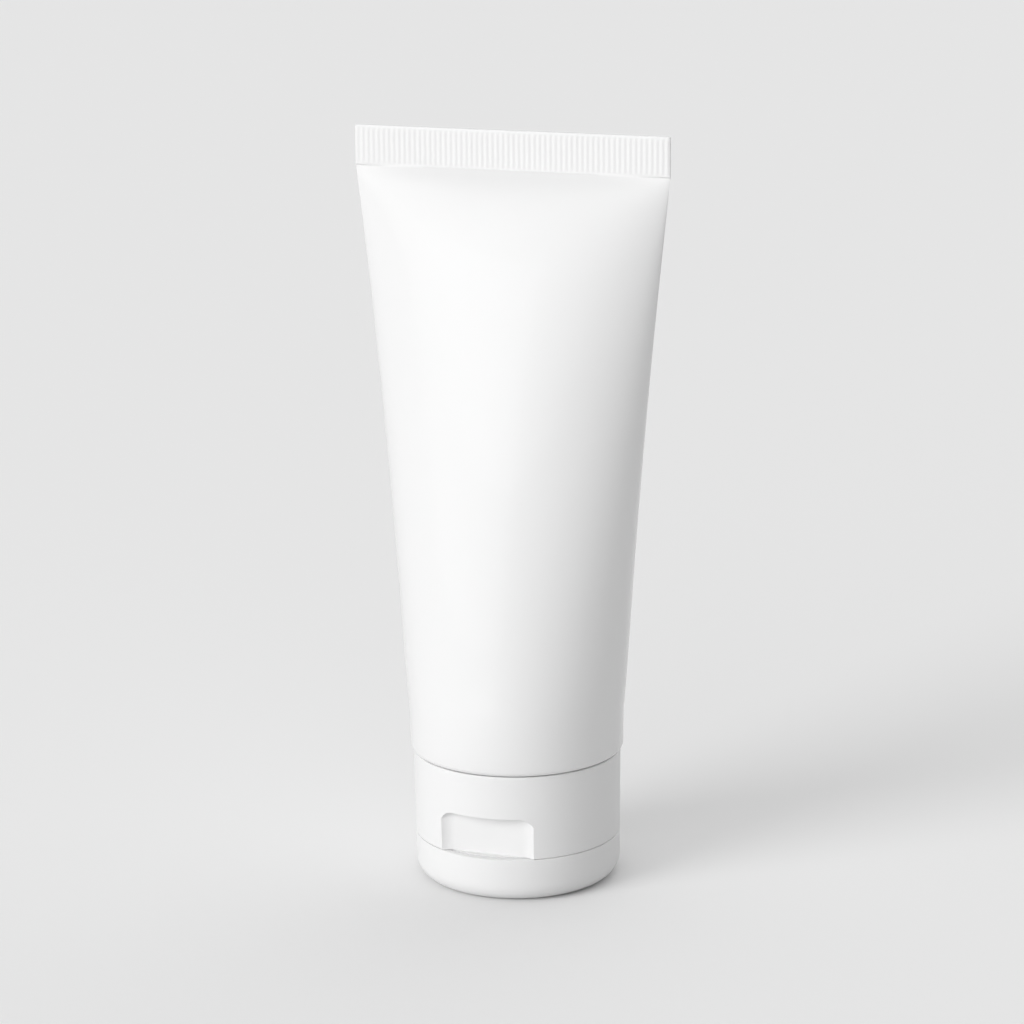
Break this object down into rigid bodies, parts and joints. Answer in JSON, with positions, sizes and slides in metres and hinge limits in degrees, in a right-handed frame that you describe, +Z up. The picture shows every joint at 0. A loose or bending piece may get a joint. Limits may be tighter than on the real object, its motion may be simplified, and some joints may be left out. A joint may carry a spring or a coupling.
{
  "type": "toothpaste tube",
  "caption": "Plain white squeeze tube with a flat crimped end, standing on a wide screw cap with a hinged flip lid and a thumb recess.",
  "frame": {"origin": "centre of the lid's flat outer face, on the surface that the tube stands on", "axes": "+Z up along the tube from the cap to the seal, X along the flat seal, the cap's thumb recess faces -Y and the lid's hinge is at +Y"},
  "size_m": [0.0602, 0.04, 0.1408],
  "materials": {
    "sleeve_film": "satin white polyethylene film",
    "head_plastic": "plain moulded polyethylene",
    "paste": "moist white paste",
    "liner_foam": "soft foam",
    "cap_plastic": "satin white moulded polypropylene"
  },
  "bodies": {
    "tube": {"sleeve": "sleeve_film", "head": "head_plastic", "paste": "paste"},
    "liner": {"liner_ring": "liner_foam"},
    "cap": {"cap_base": "cap_plastic", "hinge_film": "cap_plastic"},
    "lid": {"flip_lid": "cap_plastic"}
  },
  "joints": [
    {"name": "cap_lift", "type": "slide", "parent": "tube", "child": "liner", "axis": [0, 0, -1], "range_m": [0, 0.006]},
    {"name": "cap_turn", "type": "hinge", "parent": "liner", "child": "cap", "pos_m": [0, 0, 0.0166], "axis": [0, 0, -1], "range_deg": [0, 720]},
    {"name": "lid_hinge", "type": "hinge", "parent": "cap", "child": "lid", "pos_m": [0, 0.01891, 0.00855], "axis": [1, 0, 0], "range_deg": [0, 150], "deforming": ["hinge_film"]}
  ],
  "couplings": [
    {"joint": "cap_lift", "follows": "cap_turn", "m_per_rad": 0.00047746}
  ]
}
